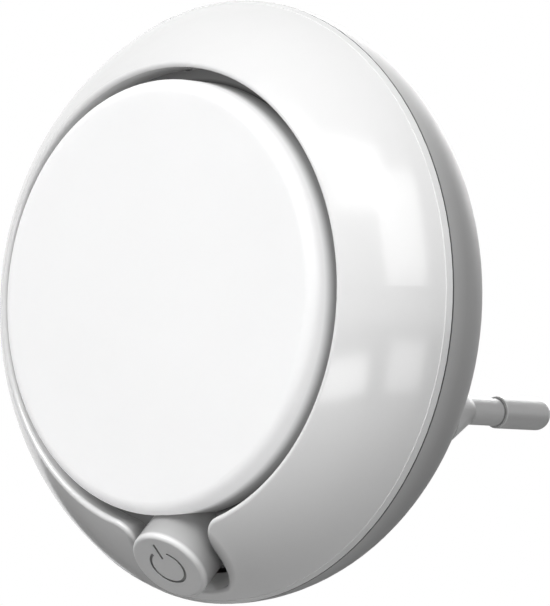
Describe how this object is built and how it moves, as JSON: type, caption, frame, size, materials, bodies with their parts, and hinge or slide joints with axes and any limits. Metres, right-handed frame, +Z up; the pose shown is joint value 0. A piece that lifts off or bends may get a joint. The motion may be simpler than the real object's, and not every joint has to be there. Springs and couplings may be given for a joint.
{
  "type": "plug-in night light",
  "caption": "Round plug-in wall night light with an opal diffuser, a push button in a notch below it and a two-pin plug on the back.",
  "frame": {"origin": "midway between the two plug pins, in the plane of the socket's face, 19 mm from the pins' tips", "axes": "+Y along the pins into the wall, +Z up, +X to the right as seen from the front"},
  "size_m": [0.0726, 0.061, 0.0726],
  "materials": {
    "shell_white": "moulded ABS, glossy",
    "opal": "opal polycarbonate, satin",
    "tray_white": "moulded white plastic",
    "button_white": "moulded ABS, satin",
    "switch_black": "moulded black plastic",
    "switch_plunger": "acetal",
    "spring_steel": "drawn wire",
    "tinned": "tinned",
    "pin_metal": "nickel-plated brass, satin",
    "sleeve_plastic": "moulded, satin",
    "lead_blue": "insulation",
    "lead_brown": "insulation",
    "lead_white": "insulation",
    "screw_steel": "zinc-plated",
    "board_white": "white solder mask",
    "led_yellow": "phosphor in a white case",
    "board_green": "green solder mask",
    "film_yellow": "cast epoxy case",
    "can_black": "sleeved can",
    "fuse_grey": "cement coating"
  },
  "bodies": {
    "housing": {"front_shell": "shell_white", "rear_cover": "shell_white", "diffuser": "opal", "light_tray": "tray_white", "switch_body": "switch_black", "switch_spring": "spring_steel", "switch_bracket": "tray_white", "switch_terminals": "tinned", "contact_pin_left": "pin_metal", "contact_pin_right": "pin_metal", "pin_sleeve_left": "sleeve_plastic", "pin_sleeve_right": "sleeve_plastic", "pin_lead_left": "lead_blue", "pin_lead_right": "lead_brown", "switch_lead_left": "lead_white", "switch_lead_right": "lead_white", "pin_clamp_plate": "tray_white", "pin_clamp_screw": "screw_steel", "cover_screws": "screw_steel", "led_board": "board_white", "leds": "led_yellow", "led_board_screws": "screw_steel", "driver_board": "board_green", "driver_board_screws": "screw_steel", "link_pins": "tinned", "link_block": "switch_black", "film_capacitor": "film_yellow", "electrolytic_capacitor": "can_black", "fuse_resistor": "fuse_grey", "bridge_rectifier": "switch_black", "resistors": "switch_black"},
    "button": {"power_button": "button_white", "switch_plunger": "switch_plunger"}
  },
  "joints": [
    {"name": "button_press", "type": "slide", "parent": "housing", "child": "button", "axis": [0, 0.7254, 0.6884], "range_m": [0, 0.0012], "stiffness_N_per_m": 900, "deforming": ["switch_spring"]}
  ]
}
